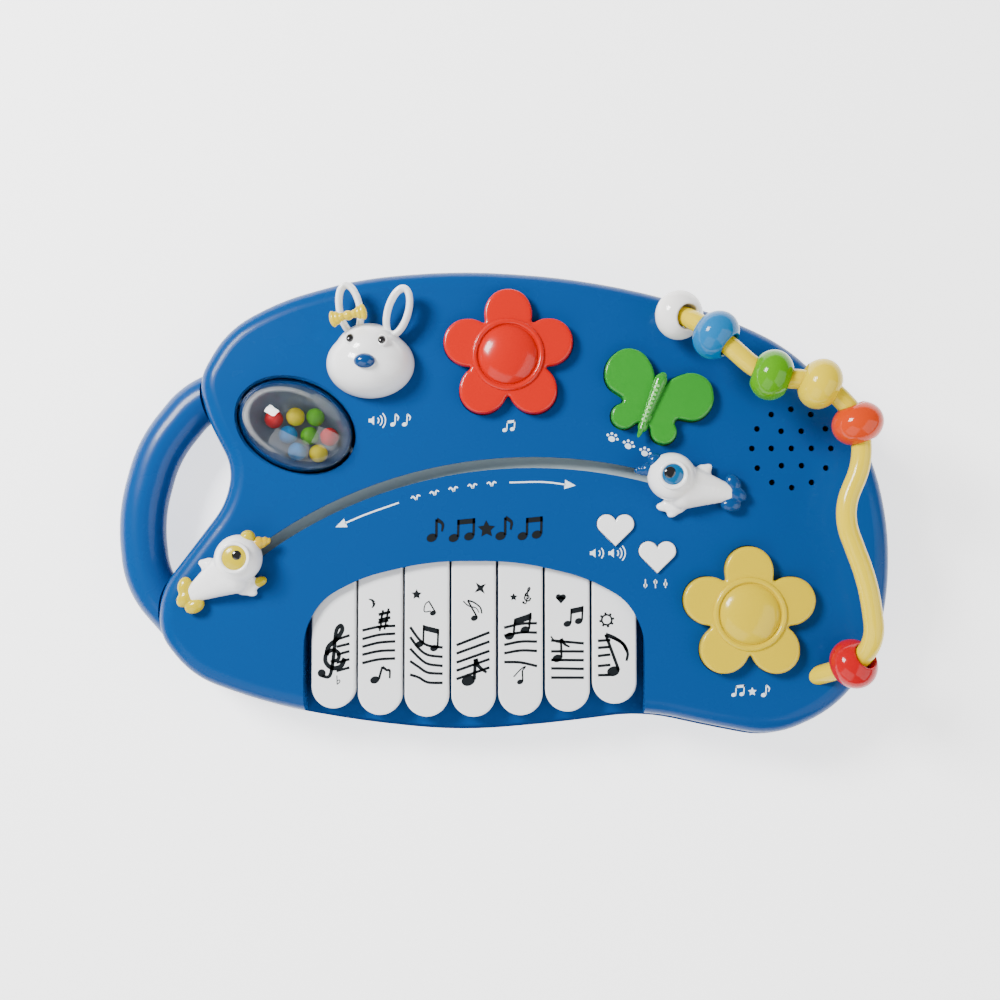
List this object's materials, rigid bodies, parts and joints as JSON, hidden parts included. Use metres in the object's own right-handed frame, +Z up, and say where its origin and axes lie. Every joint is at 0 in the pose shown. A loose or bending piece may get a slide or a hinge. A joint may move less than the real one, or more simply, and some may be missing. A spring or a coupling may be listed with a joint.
{
  "type": "toy electronic keyboard",
  "caption": "Battery toy keyboard in a curved blue case with piano keys, flower, butterfly and heart buttons, a pull-up rabbit, sliding birds, a rattle drum and a bead rod.",
  "frame": {"origin": "middle of the footprint, on the surface that the rubber feet stand on", "axes": "+X along the row of keys to the player's right, +Y away from the player, +Z up"},
  "size_m": [0.3973, 0.2386, 0.0899],
  "materials": {
    "blue_shell": "glossy",
    "blue_base": "glossy",
    "white_plastic": "glossy",
    "key_white": "satin",
    "red_plastic": "glossy",
    "yellow_plastic": "glossy",
    "green_clear": "translucent",
    "rod_yellow": "glossy",
    "bead_white": "glossy",
    "bead_blue": "glossy",
    "bead_green": "glossy",
    "bead_yellow": "glossy",
    "bead_orange": "glossy",
    "bead_red": "glossy",
    "nose_blue": "glossy",
    "track_grey": "satin",
    "clear_drum": "clear",
    "ball_colours": "glossy",
    "black_rubber": "matt",
    "grey_rubber": "matt",
    "screw_steel": "zinc plated",
    "axle_steel": "ground",
    "spring_steel": "drawn wire",
    "contact_steel": "nickel plated",
    "circuit_board": "solder mask",
    "components_black": "moulded",
    "cell_wrap": "wrapped",
    "paper_cone": "pressed paper",
    "magnet_steel": "plated",
    "wire_red": "insulation",
    "black_plastic": "moulded"
  },
  "bodies": {
    "root": {"top_shell": "blue_shell", "bottom_shell": "blue_base", "carry_handle": "blue_base", "rubber_feet": "black_rubber", "battery_door": "blue_base", "door_screw": "screw_steel", "housing_screws": "screw_steel", "inner_screws": "screw_steel", "batteries": "cell_wrap", "battery_contacts": "contact_steel", "main_board": "circuit_board", "board_components": "components_black", "button_boards": "circuit_board", "key_domes": "grey_rubber", "button_domes": "grey_rubber", "speaker_frame": "screw_steel", "speaker_cone": "paper_cone", "speaker_magnet": "magnet_steel", "battery_leads": "wire_red", "speaker_leads": "wire_red", "switch_body": "black_plastic", "key_axle": "axle_steel", "slide_track": "track_grey", "bead_rod": "rod_yellow", "drum_bearings": "blue_base", "rabbit_spring": "spring_steel"},
    "key_1": {"key_1": "key_white"},
    "key_2": {"key_2": "key_white"},
    "key_3": {"key_3": "key_white"},
    "key_4": {"key_4": "key_white"},
    "key_5": {"key_5": "key_white"},
    "key_6": {"key_6": "key_white"},
    "key_7": {"key_7": "key_white"},
    "red_flower_button": {"red_flower_button": "red_plastic"},
    "yellow_flower_button": {"yellow_flower_button": "yellow_plastic"},
    "butterfly_button": {"butterfly_button": "green_clear"},
    "volume_button": {"volume_button": "white_plastic"},
    "tone_button": {"tone_button": "white_plastic"},
    "power_switch": {"power_switch": "black_plastic"},
    "white_bead": {"white_bead": "bead_white"},
    "blue_bead": {"blue_bead": "bead_blue"},
    "green_bead": {"green_bead": "bead_green"},
    "yellow_bead": {"yellow_bead": "bead_yellow"},
    "orange_bead": {"orange_bead": "bead_orange"},
    "red_bead": {"red_bead": "bead_red"},
    "rabbit": {"rabbit_head": "white_plastic", "rabbit_bow": "yellow_plastic", "rabbit_nose": "nose_blue", "rabbit_plunger": "white_plastic"},
    "left_bird": {"left_bird": "white_plastic", "left_bird_trim": "yellow_plastic", "left_bird_shoe": "white_plastic"},
    "right_bird": {"right_bird": "white_plastic", "right_bird_trim": "nose_blue", "right_bird_shoe": "white_plastic"},
    "rattle_drum": {"drum_upper_half": "clear_drum", "drum_lower_half": "clear_drum", "rattle_balls": "ball_colours"}
  },
  "joints": [
    {"name": "key_1_press", "type": "hinge", "parent": "root", "child": "key_1", "pos_m": [-0.08345, -0.0264, 0.033], "axis": [1, 0, 0], "range_deg": [0, 2.2], "stiffness_Nm_per_rad": 1.5, "springref_deg": -1.72, "deforming": ["key_domes"]},
    {"name": "key_2_press", "type": "hinge", "parent": "root", "child": "key_2", "pos_m": [-0.05985, -0.0264, 0.033], "axis": [1, 0, 0], "range_deg": [0, 2.2], "stiffness_Nm_per_rad": 1.5, "springref_deg": -1.72},
    {"name": "key_3_press", "type": "hinge", "parent": "root", "child": "key_3", "pos_m": [-0.03625, -0.0264, 0.033], "axis": [1, 0, 0], "range_deg": [0, 2.2], "stiffness_Nm_per_rad": 1.5, "springref_deg": -1.72},
    {"name": "key_4_press", "type": "hinge", "parent": "root", "child": "key_4", "pos_m": [-0.01265, -0.0264, 0.033], "axis": [1, 0, 0], "range_deg": [0, 2.2], "stiffness_Nm_per_rad": 1.5, "springref_deg": -1.72},
    {"name": "key_5_press", "type": "hinge", "parent": "root", "child": "key_5", "pos_m": [0.01095, -0.0264, 0.033], "axis": [1, 0, 0], "range_deg": [0, 2.2], "stiffness_Nm_per_rad": 1.5, "springref_deg": -1.72},
    {"name": "key_6_press", "type": "hinge", "parent": "root", "child": "key_6", "pos_m": [0.03455, -0.0264, 0.033], "axis": [1, 0, 0], "range_deg": [0, 2.2], "stiffness_Nm_per_rad": 1.5, "springref_deg": -1.72},
    {"name": "key_7_press", "type": "hinge", "parent": "root", "child": "key_7", "pos_m": [0.05815, -0.0264, 0.033], "axis": [1, 0, 0], "range_deg": [0, 2.2], "stiffness_Nm_per_rad": 1.5, "springref_deg": -1.72},
    {"name": "red_flower_button_press", "type": "slide", "parent": "root", "child": "red_flower_button", "axis": [0, 0, -1], "range_m": [0, 0.003], "stiffness_N_per_m": 250, "springref_m": -0.002, "deforming": ["button_domes"]},
    {"name": "yellow_flower_button_press", "type": "slide", "parent": "root", "child": "yellow_flower_button", "axis": [0, 0, -1], "range_m": [0, 0.003], "stiffness_N_per_m": 250, "springref_m": -0.002},
    {"name": "butterfly_button_press", "type": "slide", "parent": "root", "child": "butterfly_button", "axis": [0, 0, -1], "range_m": [0, 0.003], "stiffness_N_per_m": 250, "springref_m": -0.002},
    {"name": "volume_button_press", "type": "slide", "parent": "root", "child": "volume_button", "axis": [0, 0, -1], "range_m": [0, 0.002], "stiffness_N_per_m": 250, "springref_m": -0.002},
    {"name": "tone_button_press", "type": "slide", "parent": "root", "child": "tone_button", "axis": [0, 0, -1], "range_m": [0, 0.002], "stiffness_N_per_m": 250, "springref_m": -0.002},
    {"name": "rabbit_pull", "type": "slide", "parent": "root", "child": "rabbit", "axis": [0, 0, 1], "range_m": [0, 0.01], "stiffness_N_per_m": 120, "springref_m": -0.008, "deforming": ["rabbit_spring"]},
    {"name": "left_bird_slide", "type": "hinge", "parent": "root", "child": "left_bird", "pos_m": [0.0168, -0.2141, 0.042], "axis": [0, 0, 1], "range_deg": [-22, 0]},
    {"name": "right_bird_slide", "type": "hinge", "parent": "root", "child": "right_bird", "pos_m": [0.0168, -0.2141, 0.042], "axis": [0, 0, 1], "range_deg": [0, 22]},
    {"name": "white_bead_slide", "type": "hinge", "parent": "root", "child": "white_bead", "pos_m": [0.10633, 0.06957, 0.04087], "axis": [0.7142, 0.6809, -0.1619], "range_deg": [0, 3]},
    {"name": "blue_bead_slide", "type": "hinge", "parent": "root", "child": "blue_bead", "pos_m": [0.11428, 0.06353, 0.02824], "axis": [0.6924, 0.7152, -0.0947], "range_deg": [-1.5, 12]},
    {"name": "green_bead_slide", "type": "hinge", "parent": "root", "child": "green_bead", "pos_m": [0.1427, 0.08994, 0.07682], "axis": [-0.1098, 0.009, 0.9939], "range_deg": [-18, 3.5]},
    {"name": "yellow_bead_slide", "type": "hinge", "parent": "root", "child": "yellow_bead", "pos_m": [0.14281, 0.02815, 0.07062], "axis": [0.1243, 0.2311, -0.965], "range_deg": [-4, 2]},
    {"name": "orange_bead_slide", "type": "hinge", "parent": "root", "child": "orange_bead", "pos_m": [0.14589, 0.0249, 0.07697], "axis": [-0.0487, 0.0665, -0.9966], "range_deg": [-2, 13]},
    {"name": "red_bead_slide", "type": "hinge", "parent": "root", "child": "red_bead", "pos_m": [0.15271, -0.05369, 0.05346], "axis": [0.6329, 0.3816, -0.6737], "range_deg": [-14, 1]},
    {"name": "drum_spin", "type": "hinge", "parent": "root", "child": "rattle_drum", "pos_m": [-0.103, 0.0377, 0.037], "axis": [0.9164, -0.4003, 0], "continuous": true},
    {"name": "power_switch_slide", "type": "slide", "parent": "root", "child": "power_switch", "axis": [1, 0, 0], "range_m": [-0.002, 0.002]}
  ]
}
